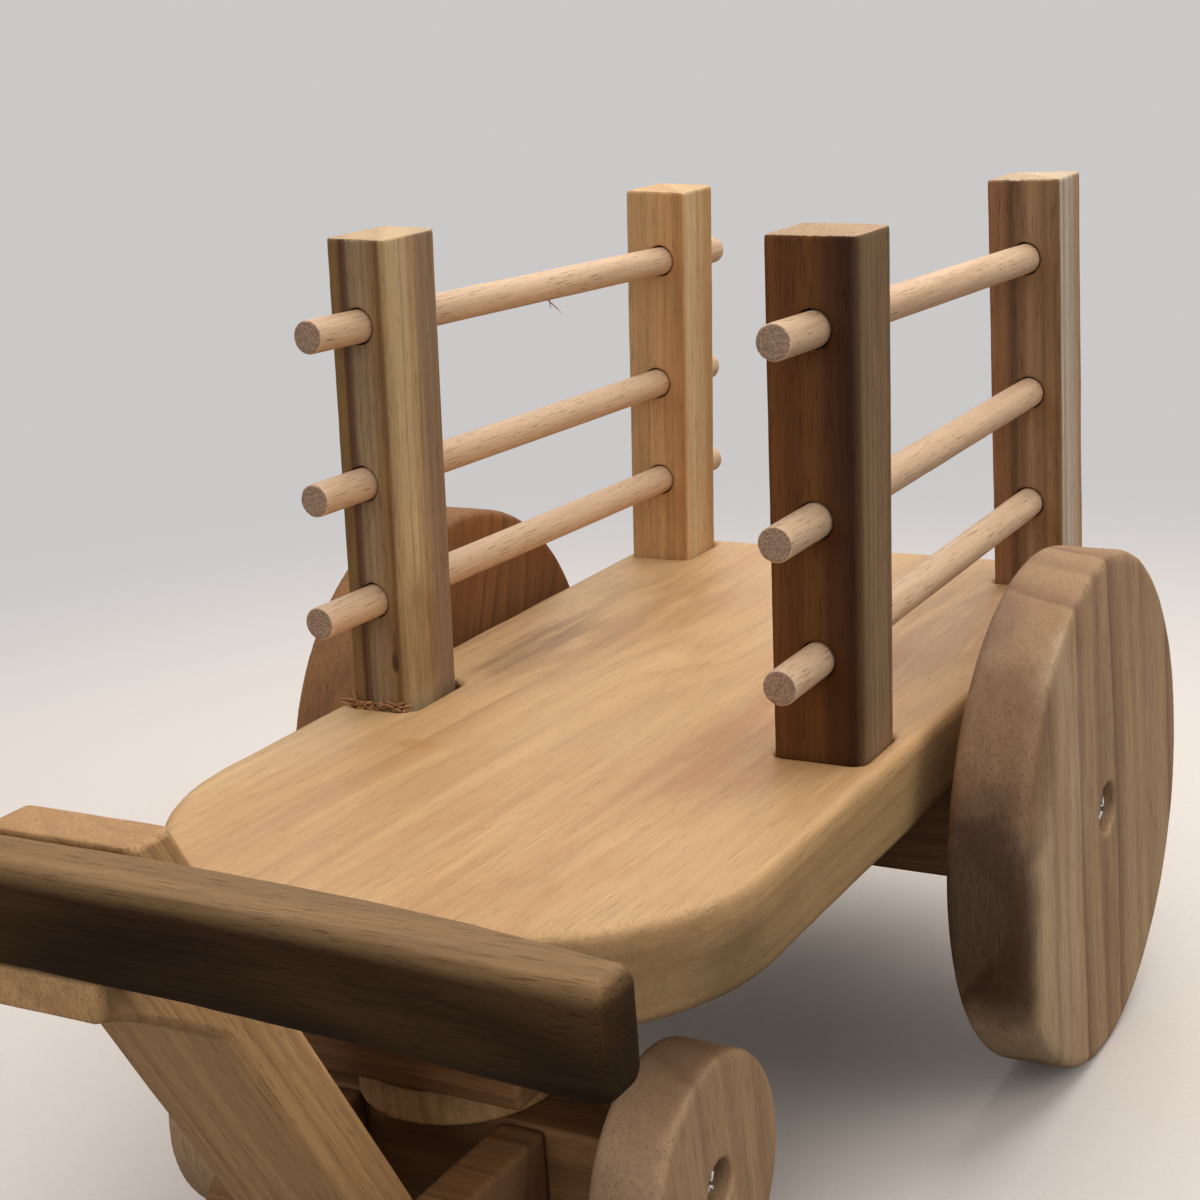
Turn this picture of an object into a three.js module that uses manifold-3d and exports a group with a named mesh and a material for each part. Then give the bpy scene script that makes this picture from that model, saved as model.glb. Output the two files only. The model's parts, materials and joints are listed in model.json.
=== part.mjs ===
// A wooden toy truck: a plank deck with slatted sides on four corner posts, two large solid rear
// wheels, and a small steered front axle that carries a tilting drawbar with a cross handle.
// Millimetres, +Z up. The truck's front faces -Y. The origin is on the ground, midway along and
// across the whole truck.
import * as THREE from 'three';
import { mergeVertices } from 'three/addons/utils/BufferGeometryUtils.js';
import Module from 'manifold-3d';

// ---- Driving dimensions ---------------------------------------------------------------------

const GAP = 0.3; // clearance left between pieces that touch
const OVERRUN = 5; // how far a cutter runs past the face it opens

const REAR_WHEEL = { radius: 62.4, thickness: 18.5, outerFace: 98.2, axleY: 78.8, rimRound: 2 };
const FRONT_WHEEL = { radius: 27.5, thickness: 16, outerFace: 60, axleY: -59.5, rimRound: 1.6 };

const DECK = {
  top: REAR_WHEEL.radius + 33.2,
  thickness: 21,
  halfWidth: 71.3,
  frontY: -104,
  rearY: 177,
  frontRightCorner: 50,
  frontLeftCorner: 64,
  rearCorner: 6,
  edgeRound: 2.2,
};
const DECK_UNDERSIDE = DECK.top - DECK.thickness;

// Stake posts: foot centre on the deck, section, height above it, sideways lean towards +X in degrees, corner
// radii of the section (front left, front right, rear right, rear left) and the mortise's fit.
const TENON = 10;
const SNUG = { spare: GAP, round: 0, shiftX: 0, shiftY: 0 };
const LOOSE = { spare: 1.5, round: 3, shiftX: 0.9, shiftY: -0.9 };
const POSTS = {
  front_left: { x: -60.2, frontY: 6.3, width: 15.8, depth: 23.6, height: 113.3, lean: 2.5,
    corners: [1.2, 1.2, 3.4, 3], mortise: LOOSE },
  front_right: { x: 55.9, frontY: 4.7, width: 20.7, depth: 20.2, height: 113.6, lean: 1.5,
    corners: [1, 1, 2.4, 2.4], mortise: SNUG },
  rear_left: { x: -59.2, frontY: 152.2, width: 18.6, depth: 20.6, height: 108.3, lean: 2.8,
    corners: [1, 1, 3.4, 3], mortise: SNUG },
  rear_right: { x: 54.9, frontY: 151.4, width: 19.5, depth: 20.3, height: 109.6, lean: 0,
    corners: [1, 1, 3.4, 2.6], mortise: SNUG },
};

// Side rails: height above the deck at the front and rear posts, and sideways place there.
const RAIL_RADIUS = 4;
const RAIL_CHAMFER = 0.35;
const RAIL_REAR_Y = 185.4;
const RAILS = {
  left_top: { frontX: -56.3, rearX: -53.3, frontZ: 92.5, rearZ: 88.0, frontY: -12.6 },
  left_middle: { frontX: -59.0, rearX: -56.6, frontZ: 55.1, rearZ: 52.6, frontY: -12.8 },
  left_bottom: { frontX: -59.2, rearX: -57.4, frontZ: 26.4, rearZ: 23.8, frontY: -15.6 },
  right_top: { frontX: 58.5, rearX: 55.0, frontZ: 93.7, rearZ: 88.5, frontY: -15.6 },
  right_middle: { frontX: 57.4, rearX: 55.6, frontZ: 53.4, rearZ: 53.2, frontY: -16.1 },
  right_bottom: { frontX: 56.6, rearX: 55.0, frontZ: 22.6, rearZ: 23.0, frontY: -15.3 },
};

// Rear axle beam under the deck, and the shoulder screws on which the rear wheels turn.
const REAR_BEAM = { halfLength: 77.7, depth: 24, bottom: 43.9 };
const REAR_AXLE = { shank: 3, head: 5.5, headDepth: 3.6, bury: 35, pocket: 6.25, pocketDepth: 5.3 };
const REAR_WASHER = { inner: 78.0, outer: 79.4, radius: 8 };

// Front axle, its turntable under the deck, and the king screw about which it steers.
const FRONT_BEAM = { halfLength: 42.5, depth: 25, height: 25 };
const FRONT_AXLE = { shank: 2.5, head: 4.8, headDepth: 3.2, bury: 24, pocket: 5.5, pocketDepth: 6 };
const FRONT_WASHER = { inner: 42.8, outer: 43.7, radius: 7 };
const BOLSTER = { halfWidth: 30, halfDepth: 25, bottom: 50.1 };
const TURNTABLE = { radius: 22, bottom: 40.3, top: 48 };
const KING_WASHER = { radius: 19, bottom: 48.3, top: 49.8 };
const KING_SCREW = { shank: 3, head: 5.5, headDepth: 3.6, top: 84 };

// Drawbar: pivot above the ground, slope, section, and the notch that holds the cross handle.
const DRAWBAR = {
  pivotY: -104,
  pivotZ: FRONT_WHEEL.radius,
  slope: 60.4,
  halfWidth: 16,
  halfThickness: 7,
  edgeRound: 1.2,
  pin: 3,
  pinProud: 1.5,
};
const CHEEK = { thickness: 11, height: 24, eye: 12, play: 0.2 };
const HANDLE = {
  halfLength: 110,
  top: DECK.top + 40,
  thickness: 18,
  frontCentreY: -180.5,
  frontEndY: -185.4,
  backCentreY: -167.5,
  backEndY: -174.4,
  edgeRound: 2.5,
  endRound: 3.5,
  seatSpare: 3,
  bend: 0.6,
};
const LIP = { frontY: -178.5, depth: 7, run: 10, sag: 3, drop: 16 };

const WOOD_SCREW = { shank: 2, head: 4, headDepth: 2.4, rim: 0.3, point: 5 };

const COLOURS = {
  deck: 0xc39a68,
  postDark: 0x6b4a2e,
  postPale: 0xc49a6c,
  postGrey: 0x9c7d57,
  rail: 0xd9b491,
  wheel: 0xab8259,
  wheelDark: 0x7d5733,
  beam: 0x5b3f28,
  handle: 0x5a3c22,
  drawbar: 0xb18a5e,
  steel: 0xb9bcc0,
};

// ---- Solids, cuts and placing ---------------------------------------------------------------

const wasm = await Module();
wasm.setup();

function solidOf(geometry) {
  const bare = geometry.clone();
  bare.deleteAttribute('normal');
  bare.deleteAttribute('uv');
  const merged = mergeVertices(bare, 1e-4);
  const corners = merged.index.array;
  const kept = [];
  for (let i = 0; i < corners.length; i += 3) {
    const [a, b, c] = [corners[i], corners[i + 1], corners[i + 2]];
    if (a !== b && b !== c && c !== a) kept.push(a, b, c);
  }
  return new wasm.Manifold(new wasm.Mesh({
    numProp: 3,
    vertProperties: new Float32Array(merged.attributes.position.array),
    triVerts: new Uint32Array(kept),
  }));
}

function geometryOf(solid) {
  const made = solid.getMesh();
  const geometry = new THREE.BufferGeometry();
  geometry.setAttribute('position', new THREE.BufferAttribute(made.vertProperties, 3));
  geometry.setIndex(new THREE.BufferAttribute(made.triVerts, 1));
  geometry.computeVertexNormals();
  return geometry;
}

// The geometry with every cutter taken away from it.
function carve(geometry, cutters) {
  return geometryOf(cutters.reduce((solid, cutter) => solid.subtract(solidOf(cutter)), solidOf(geometry)));
}

function wood(color, roughness = 0.7) {
  return new THREE.MeshStandardMaterial({ color, roughness, metalness: 0 });
}

function steel() {
  return new THREE.MeshStandardMaterial({ color: COLOURS.steel, roughness: 0.35, metalness: 1 });
}

// Adds a named piece to a group; cutters are given in the group's frame.
function addPiece(group, name, geometry, material, { at = [0, 0, 0], turn = [0, 0, 0], cutters = [] } = {}) {
  const mesh = new THREE.Mesh(geometry, material);
  mesh.name = name;
  mesh.position.set(...at);
  mesh.rotation.set(...turn);
  mesh.updateMatrix();
  if (cutters.length > 0) {
    const toPiece = mesh.matrix.clone().invert();
    mesh.geometry = carve(geometry, cutters.map((cutter) => cutter.clone().applyMatrix4(toPiece)));
  }
  group.add(mesh);
  return mesh;
}

// A round bar from one point to another.
function rod(radius, from, to, sides = 16) {
  const start = new THREE.Vector3(...from);
  const end = new THREE.Vector3(...to);
  const along = end.clone().sub(start);
  const geometry = new THREE.CylinderGeometry(radius, radius, along.length(), sides);
  const up = new THREE.Vector3(0, 1, 0);
  geometry.applyQuaternion(new THREE.Quaternion().setFromUnitVectors(up, along.normalize()));
  const middle = start.add(end).multiplyScalar(0.5);
  return geometry.translate(middle.x, middle.y, middle.z);
}

// A body turned about an axis, from [radius, height] pairs; its axis ends up along +X.
function turnedAlongX(profile, sides) {
  const points = profile.map(([radius, height]) => new THREE.Vector2(radius, height));
  return new THREE.LatheGeometry(points, sides).rotateZ(-Math.PI / 2);
}

// A quarter circle of profile points, from one angle to another in degrees.
function arcPoints(centre, radius, fromDegrees, toDegrees, steps = 2) {
  return Array.from({ length: steps + 1 }, (unused, i) => {
    const angle = THREE.MathUtils.degToRad(fromDegrees + ((toDegrees - fromDegrees) * i) / steps);
    return [centre[0] + radius * Math.cos(angle), centre[1] + radius * Math.sin(angle)];
  });
}

// A flat outline given thickness, with rounded edges, resting on z = 0.
function slab(shape, thickness, edgeRound, curveSegments, bevelSegments = 2) {
  const geometry = new THREE.ExtrudeGeometry(shape, {
    depth: thickness - 2 * edgeRound,
    bevelEnabled: edgeRound > 0,
    bevelThickness: edgeRound,
    bevelSize: edgeRound,
    bevelOffset: -edgeRound,
    bevelSegments,
    curveSegments,
  });
  return geometry.translate(0, 0, edgeRound);
}

// A rectangle with its own radius at each corner: front left, front right, rear right, rear left.
function roundedRectangle(left, front, right, rear, [fl, fr, rr, rl]) {
  const shape = new THREE.Shape();
  shape.moveTo(left + fl, front);
  shape.lineTo(right - fr, front);
  shape.absarc(right - fr, front + fr, fr, -Math.PI / 2, 0);
  shape.lineTo(right, rear - rr);
  shape.absarc(right - rr, rear - rr, rr, 0, Math.PI / 2);
  shape.lineTo(left + rl, rear);
  shape.absarc(left + rl, rear - rl, rl, Math.PI / 2, Math.PI);
  shape.lineTo(left, front + fl);
  shape.absarc(left + fl, front + fl, fl, Math.PI, 1.5 * Math.PI);
  return shape;
}

function block(halfWidth, front, rear, bottom, top, edgeRound = 0.8) {
  const outline = roundedRectangle(-halfWidth, front, halfWidth, rear, [1, 1, 1, 1]);
  return slab(outline, top - bottom, edgeRound, 1, 1).translate(0, 0, bottom);
}

// ---- Fasteners ------------------------------------------------------------------------------

// A cross-shaped driver recess at the origin, opening towards +X.
function driverRecess(size, depth) {
  const long = new THREE.BoxGeometry(2 * depth, size, size * 0.24);
  const cross = new THREE.BoxGeometry(2 * depth, size * 0.24, size);
  return [long, cross];
}

// A round-headed shoulder screw along +X: the head's seat is at x = 0 and the shank runs to -length.
function shoulderScrew({ shank, head, headDepth }, length) {
  const profile = [
    [0, -length],
    [shank * 0.7, -length + 1],
    [shank, -length + 3],
    [shank, 0],
    [head, 0],
    [head, headDepth * 0.35],
    [head * 0.8, headDepth * 0.82],
    [head * 0.4, headDepth],
    [0, headDepth],
  ];
  const recess = driverRecess(head * 1.1, headDepth * 0.5).map((box) => box.translate(headDepth, 0, 0));
  return carve(turnedAlongX(profile, 16), recess);
}

// A plain countersunk wood screw along +X: its flat head is flush with x = 0.
function woodScrew(length) {
  const { shank, head, headDepth, rim, point } = WOOD_SCREW;
  const profile = [
    [0, -length],
    [shank, -length + point],
    [shank, -headDepth],
    [head, -rim],
    [head, 0],
    [0, 0],
  ];
  return turnedAlongX(profile, 10);
}

// The hole that a countersunk screw needs, along the same line as woodScrew.
function woodScrewHole(length) {
  const { shank, head, headDepth } = WOOD_SCREW;
  const profile = [
    [0, -length - GAP],
    [shank + GAP, -length - GAP],
    [shank + GAP, -headDepth],
    [head + GAP, 0],
    [head + GAP, OVERRUN],
    [0, OVERRUN],
  ];
  return turnedAlongX(profile, 10);
}

// Turns that point +X down (heads underneath), up, to the rear, or to the left.
const FACING = {
  right: [0, 0, 0],
  left: [0, 0, Math.PI],
  down: [0, Math.PI / 2, 0],
  up: [0, -Math.PI / 2, 0],
  rear: [0, 0, Math.PI / 2],
};

function facingMatrix(facing, at) {
  const turn = new THREE.Matrix4().makeRotationFromEuler(new THREE.Euler(...FACING[facing]));
  return turn.setPosition(...at);
}

function addWoodScrew(group, name, length, facing, at) {
  addPiece(group, name, woodScrew(length), steel(), { at, turn: FACING[facing] });
}

function woodScrewCutter(length, facing, at) {
  return woodScrewHole(length).applyMatrix4(facingMatrix(facing, at));
}

function washer(outerRadius, innerRadius, thickness) {
  const profile = [
    [innerRadius, 0],
    [outerRadius, 0],
    [outerRadius, thickness],
    [innerRadius, thickness],
    [innerRadius, 0],
  ];
  return turnedAlongX(profile, 24);
}

// ---- Chassis: deck, posts, rails, rear axle beam and front bolster ----------------------------

const SIDES = { left: -1, right: 1 };
const facingOf = (side) => (side > 0 ? 'right' : 'left');

const POST_SCREW_LENGTH = 32;
const BEAM_SCREW = { length: 44, x: 28 };
const BOLSTER_SCREW = { length: 37, x: 22, y: 18 };
const beamScrewAt = (side) => [side * BEAM_SCREW.x, REAR_WHEEL.axleY, REAR_BEAM.bottom];
const bolsterScrewSpots = {
  front_left: [-1, -1],
  front_right: [1, -1],
  rear_left: [-1, 1],
  rear_right: [1, 1],
};
const bolsterScrewAt = ([sideX, sideY]) => [
  sideX * BOLSTER_SCREW.x, FRONT_WHEEL.axleY + sideY * BOLSTER_SCREW.y, BOLSTER.bottom,
];
const kingBore = rod(KING_SCREW.shank + GAP, [0, FRONT_WHEEL.axleY, 0],
  [0, FRONT_WHEEL.axleY, KING_SCREW.top + GAP]);

function postFoot(post) {
  return [post.x, post.frontY + post.depth / 2, DECK.top];
}

function postLean(post) {
  return [0, THREE.MathUtils.degToRad(post.lean), 0];
}

function postScrewAt(post) {
  const [x, y] = postFoot(post);
  return [x, y, DECK_UNDERSIDE];
}

function postSection(post, fit) {
  const halfWidth = post.width / 2 + fit.spare;
  const halfDepth = post.depth / 2 + fit.spare;
  const corners = post.corners.map((radius) => Math.max(radius, fit.round) + fit.spare);
  return roundedRectangle(
    fit.shiftX - halfWidth, fit.shiftY - halfDepth, fit.shiftX + halfWidth, fit.shiftY + halfDepth, corners);
}

function postMortise(post) {
  const geometry = slab(postSection(post, post.mortise), TENON + GAP + 4 * OVERRUN, 0, 3);
  geometry.translate(0, 0, -TENON - GAP);
  const turn = new THREE.Matrix4().makeRotationFromEuler(new THREE.Euler(...postLean(post)));
  return geometry.applyMatrix4(turn.setPosition(...postFoot(post)));
}

// A rail's centre line, carried on from the two posts to its free ends.
function railEnds(rail, side) {
  const { frontY: postFrontY, depth } = POSTS[`front_${side}`];
  const stationFront = postFrontY + depth / 2;
  const stationRear = POSTS[`rear_${side}`].frontY + POSTS[`rear_${side}`].depth / 2;
  const pointAt = (y) => {
    const t = (y - stationFront) / (stationRear - stationFront);
    return [
      THREE.MathUtils.lerp(rail.frontX, rail.rearX, t),
      y,
      DECK.top + THREE.MathUtils.lerp(rail.frontZ, rail.rearZ, t),
    ];
  };
  return { front: pointAt(rail.frontY), rear: pointAt(RAIL_REAR_Y) };
}

function addRails(chassis) {
  for (const [name, rail] of Object.entries(RAILS)) {
    const { front, rear } = railEnds(rail, name.split('_')[0]);
    const start = new THREE.Vector3(...front);
    const along = new THREE.Vector3(...rear).sub(start);
    const length = along.length();
    const profile = [
      [0, 0],
      [RAIL_RADIUS - RAIL_CHAMFER, 0],
      [RAIL_RADIUS, RAIL_CHAMFER],
      [RAIL_RADIUS, length - RAIL_CHAMFER],
      [RAIL_RADIUS - RAIL_CHAMFER, length],
      [0, length],
    ];
    const geometry = turnedAlongX(profile, 20);
    const mesh = addPiece(chassis, `rail_${name}`, geometry, wood(COLOURS.rail, 0.62), { at: front });
    mesh.quaternion.setFromUnitVectors(new THREE.Vector3(1, 0, 0), along.normalize());
  }
}

function railCutters(side) {
  return Object.entries(RAILS)
    .filter(([name]) => name.startsWith(side))
    .map(([, rail]) => railEnds(rail, side))
    .map(({ front, rear }) => rod(RAIL_RADIUS + GAP, front, rear, 20));
}

function addPosts(chassis) {
  const colours = {
    front_left: COLOURS.postGrey,
    front_right: COLOURS.postDark,
    rear_left: COLOURS.postPale,
    rear_right: COLOURS.postGrey,
  };
  for (const [name, post] of Object.entries(POSTS)) {
    const section = postSection(post, { ...SNUG, spare: 0 });
    const geometry = slab(section, post.height + TENON, 0.5, 3, 1).translate(0, 0, -TENON);
    const screw = postScrewAt(post);
    const cutters = railCutters(name.split('_')[1]);
    cutters.push(woodScrewCutter(POST_SCREW_LENGTH, 'down', screw));
    addPiece(chassis, `post_${name}`, geometry, wood(colours[name]),
      { at: postFoot(post), turn: postLean(post), cutters });
    addWoodScrew(chassis, `post_screw_${name}`, POST_SCREW_LENGTH, 'down', screw);
  }
}

function deckOutline() {
  const { halfWidth, frontY, rearY, frontLeftCorner, frontRightCorner, rearCorner } = DECK;
  const corners = [frontLeftCorner, frontRightCorner, rearCorner, rearCorner];
  return roundedRectangle(-halfWidth, frontY, halfWidth, rearY, corners);
}

function addDeck(chassis) {
  const cutters = Object.values(POSTS).map(postMortise);
  for (const post of Object.values(POSTS)) {
    cutters.push(woodScrewCutter(POST_SCREW_LENGTH, 'down', postScrewAt(post)));
  }
  for (const side of Object.values(SIDES)) {
    cutters.push(woodScrewCutter(BEAM_SCREW.length, 'down', beamScrewAt(side)));
  }
  for (const spot of Object.values(bolsterScrewSpots)) {
    cutters.push(woodScrewCutter(BOLSTER_SCREW.length, 'down', bolsterScrewAt(spot)));
  }
  cutters.push(kingBore);
  const geometry = slab(deckOutline(), DECK.thickness, DECK.edgeRound, 16).translate(0, 0, DECK_UNDERSIDE);
  addPiece(chassis, 'deck', geometry, wood(COLOURS.deck), { cutters });
}

// The round hole for a wheel's shoulder screw, from its buried tip out past its seat.
function axleBore(axle, beamEnd, seat, y, z, side) {
  const tip = [side * (beamEnd - axle.bury - GAP), y, z];
  return rod(axle.shank + GAP, tip, [side * seat, y, z]);
}

const rearSeat = REAR_WHEEL.outerFace - REAR_AXLE.pocketDepth + GAP;
const frontSeat = FRONT_WHEEL.outerFace - FRONT_AXLE.pocketDepth + GAP;

function addRearAxle(chassis) {
  const { axleY, radius } = REAR_WHEEL;
  const cutters = [];
  for (const [name, side] of Object.entries(SIDES)) {
    const at = beamScrewAt(side);
    cutters.push(woodScrewCutter(BEAM_SCREW.length, 'down', at));
    cutters.push(axleBore(REAR_AXLE, REAR_BEAM.halfLength, rearSeat, axleY, radius, side));
    addWoodScrew(chassis, `beam_screw_${name}`, BEAM_SCREW.length, 'down', at);
    const turn = FACING[facingOf(side)];
    const length = rearSeat - REAR_BEAM.halfLength + REAR_AXLE.bury;
    addPiece(chassis, `rear_axle_screw_${name}`, shoulderScrew(REAR_AXLE, length), steel(),
      { at: [side * rearSeat, axleY, radius], turn });
    const { inner, outer, radius: washerRadius } = REAR_WASHER;
    const ring = washer(washerRadius, REAR_AXLE.shank + GAP, outer - inner);
    addPiece(chassis, `rear_washer_${name}`, ring, steel(),
      { at: [side * inner, axleY, radius], turn });
  }
  const halfDepth = REAR_BEAM.depth / 2;
  const beam = block(REAR_BEAM.halfLength, axleY - halfDepth, axleY + halfDepth, REAR_BEAM.bottom,
    DECK_UNDERSIDE - GAP);
  addPiece(chassis, 'rear_axle_beam', beam, wood(COLOURS.beam), { cutters });
}

function addBolster(chassis) {
  const y = FRONT_WHEEL.axleY;
  const cutters = [kingBore];
  for (const [name, spot] of Object.entries(bolsterScrewSpots)) {
    const at = bolsterScrewAt(spot);
    cutters.push(woodScrewCutter(BOLSTER_SCREW.length, 'down', at));
    addWoodScrew(chassis, `bolster_screw_${name}`, BOLSTER_SCREW.length, 'down', at);
  }
  const geometry = block(BOLSTER.halfWidth, y - BOLSTER.halfDepth, y + BOLSTER.halfDepth, BOLSTER.bottom,
    DECK_UNDERSIDE - GAP);
  addPiece(chassis, 'front_bolster', geometry, wood(COLOURS.beam), { cutters });
  const plate = washer(KING_WASHER.radius, KING_SCREW.shank + GAP, KING_WASHER.top - KING_WASHER.bottom);
  addPiece(chassis, 'turntable_washer', plate, steel(), { at: [0, y, KING_WASHER.bottom], turn: FACING.up });
  const seat = FRONT_WHEEL.radius - FRONT_BEAM.height / 2 - GAP;
  addPiece(chassis, 'king_screw', shoulderScrew(KING_SCREW, KING_SCREW.top - seat), steel(),
    { at: [0, y, seat], turn: FACING.down });
}

function makeChassis() {
  const chassis = new THREE.Group();
  addDeck(chassis);
  addPosts(chassis);
  addRails(chassis);
  addRearAxle(chassis);
  addBolster(chassis);
  return chassis;
}

// ---- Wheels ---------------------------------------------------------------------------------

// A solid wheel on its side, with a pocket in its outer face for the screw head; its outer face
// is at x = 0 and its axle runs along X.
function wheelGeometry(wheel, axle, sides) {
  const { radius, thickness, rimRound } = wheel;
  const bore = axle.shank + GAP;
  const profile = [
    [bore, -thickness],
    ...arcPoints([radius - rimRound, -thickness + rimRound], rimRound, -90, 0),
    ...arcPoints([radius - rimRound, -rimRound], rimRound, 0, 90),
    [axle.pocket, 0],
    [axle.pocket, -axle.pocketDepth],
    [bore, -axle.pocketDepth],
    [bore, -thickness],
  ];
  return turnedAlongX(profile, sides);
}

function addWheels(group, prefix, wheel, axle, sides, colours) {
  for (const [name, side] of Object.entries(SIDES)) {
    addPiece(group, `${prefix}_${name}`, wheelGeometry(wheel, axle, sides), wood(colours[name]),
      { at: [side * wheel.outerFace, 0, 0], turn: FACING[facingOf(side)] });
  }
}

function makeRearWheels() {
  const wheels = new THREE.Group();
  wheels.position.set(0, REAR_WHEEL.axleY, REAR_WHEEL.radius);
  const colours = { left: COLOURS.wheelDark, right: COLOURS.wheel };
  addWheels(wheels, 'rear_wheel', REAR_WHEEL, REAR_AXLE, 72, colours);
  return wheels;
}

// ---- Steered front axle ---------------------------------------------------------------------
// Its group's origin is on the king screw's line, at the height of the front wheels' centres.

const CHEEK_SCREW = { length: 44, z: 7 };
const DISC_SCREW = { length: 28, x: 14 };
const cheekMiddleX = DRAWBAR.halfWidth + GAP + CHEEK.play + CHEEK.thickness / 2;
const pinOffset = [DRAWBAR.pivotY - FRONT_WHEEL.axleY, DRAWBAR.pivotZ - FRONT_WHEEL.radius];

// A cheek seen from the side: square where it meets the beam and round about the drawbar's pin.
function cheekGeometry() {
  const rearY = -FRONT_BEAM.depth / 2 - GAP;
  const half = CHEEK.height / 2;
  const shape = new THREE.Shape();
  shape.moveTo(rearY, half);
  shape.lineTo(pinOffset[0], half);
  shape.absarc(pinOffset[0], pinOffset[1], CHEEK.eye, Math.PI / 2, 1.5 * Math.PI);
  shape.lineTo(rearY, -half);
  shape.closePath();
  return alongX(shape, CHEEK.thickness, 0.8, 8, 1);
}

// An outline in the YZ plane given thickness along X, centred on x = 0.
function alongX(shape, thickness, edgeRound, curveSegments, bevelSegments) {
  const axes = new THREE.Matrix4().makeBasis(
    new THREE.Vector3(0, 1, 0), new THREE.Vector3(0, 0, 1), new THREE.Vector3(1, 0, 0));
  const geometry = slab(shape, thickness, edgeRound, curveSegments, bevelSegments);
  geometry.translate(0, 0, -thickness / 2);
  return geometry.applyMatrix4(axes);
}

function makeFrontAxle() {
  const group = new THREE.Group();
  group.position.set(0, FRONT_WHEEL.axleY, FRONT_WHEEL.radius);
  const half = FRONT_BEAM.height / 2;
  const discBottom = TURNTABLE.bottom - FRONT_WHEEL.radius;
  const discTop = TURNTABLE.top - FRONT_WHEEL.radius;
  const kingHole = rod(KING_SCREW.shank + GAP, [0, 0, -half - OVERRUN], [0, 0, discTop + OVERRUN]);
  const pinHalfLength = cheekMiddleX + CHEEK.thickness / 2 + DRAWBAR.pinProud;
  const pinEnds = [[-pinHalfLength, ...pinOffset], [pinHalfLength, ...pinOffset]];
  const pinBore = rod(DRAWBAR.pin + GAP, ...pinEnds);
  const beamCutters = [kingHole];
  const discCutters = [kingHole];
  for (const [name, side] of Object.entries(SIDES)) {
    const turn = FACING[facingOf(side)];
    const cheekScrewAt = [side * cheekMiddleX, FRONT_BEAM.depth / 2, CHEEK_SCREW.z];
    const cheekScrewHole = woodScrewCutter(CHEEK_SCREW.length, 'rear', cheekScrewAt);
    const discScrewAt = [side * DISC_SCREW.x, 0, discTop];
    const discScrewHole = woodScrewCutter(DISC_SCREW.length, 'up', discScrewAt);
    beamCutters.push(axleBore(FRONT_AXLE, FRONT_BEAM.halfLength, frontSeat, 0, 0, side));
    beamCutters.push(cheekScrewHole, discScrewHole);
    discCutters.push(discScrewHole);
    const length = frontSeat - FRONT_BEAM.halfLength + FRONT_AXLE.bury;
    addPiece(group, `front_axle_screw_${name}`, shoulderScrew(FRONT_AXLE, length), steel(),
      { at: [side * frontSeat, 0, 0], turn });
    const { inner, outer, radius } = FRONT_WASHER;
    addPiece(group, `front_washer_${name}`, washer(radius, FRONT_AXLE.shank + GAP, outer - inner), steel(),
      { at: [side * inner, 0, 0], turn });
    addPiece(group, `drawbar_cheek_${name}`, cheekGeometry(), wood(COLOURS.beam),
      { at: [side * cheekMiddleX, 0, 0], cutters: [pinBore, cheekScrewHole] });
    addWoodScrew(group, `cheek_screw_${name}`, CHEEK_SCREW.length, 'rear', cheekScrewAt);
    addWoodScrew(group, `turntable_screw_${name}`, DISC_SCREW.length, 'up', discScrewAt);
  }
  const beam = block(FRONT_BEAM.halfLength, -FRONT_BEAM.depth / 2, FRONT_BEAM.depth / 2, -half, half);
  addPiece(group, 'steering_beam', beam, wood(COLOURS.beam), { cutters: beamCutters });
  const disc = rod(TURNTABLE.radius, [0, 0, discBottom], [0, 0, discTop], 32);
  addPiece(group, 'turntable_disc', disc, wood(COLOURS.drawbar), { cutters: discCutters });
  addPiece(group, 'drawbar_pin', rod(DRAWBAR.pin, ...pinEnds), wood(COLOURS.rail));
  addWheels(group, 'front_wheel', FRONT_WHEEL, FRONT_AXLE, 48, { left: COLOURS.wheel, right: COLOURS.wheel });
  return group;
}

// ---- Drawbar and cross handle ---------------------------------------------------------------
// Its group's origin is on the pin's axis.

const HANDLE_SCREW = { length: 20, x: 9 };
const handleBottom = HANDLE.top - HANDLE.thickness - DRAWBAR.pivotZ;
const handleY = (y) => y - DRAWBAR.pivotY;

// The drawbar seen from the side: a round eye, a straight sloping shank, and a head with a lip
// under the handle and a shoulder behind it.
function drawbarOutline() {
  const slope = THREE.MathUtils.degToRad(DRAWBAR.slope);
  const along = [-Math.cos(slope), Math.sin(slope)];
  const across = [Math.sin(slope), Math.cos(slope)];
  const edgeAt = (z, offset) => {
    const s = (z - offset * across[1]) / along[1];
    return [s * along[0] + offset * across[0], z];
  };
  const top = HANDLE.top - DRAWBAR.pivotZ;
  const ledge = handleBottom - GAP;
  const lipBottom = ledge - LIP.depth;
  const t = DRAWBAR.halfThickness;
  const backAngle = Math.atan2(across[1], across[0]);
  const shape = new THREE.Shape();
  shape.moveTo(...edgeAt(top, t));
  shape.lineTo(handleY(HANDLE.backCentreY) + GAP, top);
  shape.lineTo(handleY(HANDLE.backCentreY) + GAP, ledge);
  shape.lineTo(handleY(LIP.frontY), ledge);
  shape.lineTo(handleY(LIP.frontY), lipBottom);
  const underside = edgeAt(lipBottom - LIP.drop, -t);
  shape.quadraticCurveTo(handleY(LIP.frontY) + LIP.run, lipBottom - LIP.sag, ...underside);
  shape.absarc(0, 0, t, backAngle + Math.PI, backAngle + 2 * Math.PI);
  shape.closePath();
  return shape;
}

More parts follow.
